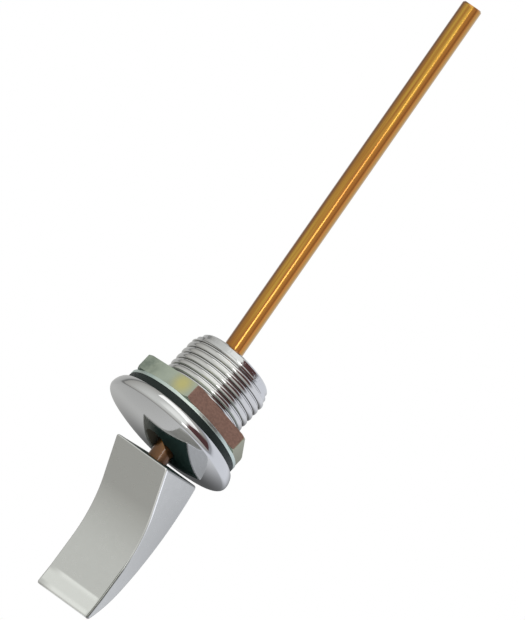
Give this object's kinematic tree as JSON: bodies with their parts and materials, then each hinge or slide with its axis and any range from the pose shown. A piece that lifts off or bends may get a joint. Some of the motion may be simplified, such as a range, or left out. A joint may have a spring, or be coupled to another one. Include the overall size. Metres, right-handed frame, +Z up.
{
  "type": "cistern lever",
  "caption": "Front-mounted flush lever: a wedge paddle in line with a long lift rod that rocks on a pin inside a domed flange with a threaded shank, lock nut and washers.",
  "frame": {"origin": "centre of the domed flange's back face, which seats against the outside of the cistern's front wall through the rubber washer", "axes": "+Y along the threaded shank into the cistern, +Z up as the lever is fitted, +X to the right as seen by a person in front of the cistern"},
  "size_m": [0.0356, 0.1576, 0.0566],
  "materials": {
    "polished_chrome": "polished",
    "satin_chrome": "satin",
    "golden_brass": "gloss",
    "black_rubber": "matte",
    "zinc_washer": "satin",
    "zinc_nut": "satin",
    "plain_steel": "satin"
  },
  "bodies": {
    "fitting": {"flange_body": "polished_chrome", "rubber_washer": "black_rubber", "steel_washer": "zinc_washer", "lock_nut": "zinc_nut", "pivot_pin": "plain_steel"},
    "lever": {"lift_rod": "golden_brass", "paddle": "satin_chrome"}
  },
  "joints": [
    {"name": "lever_pivot", "type": "hinge", "parent": "fitting", "child": "lever", "pos_m": [0, 0.0051, 0], "axis": [-1, 0, 0], "range_deg": [0, 35.6]}
  ]
}
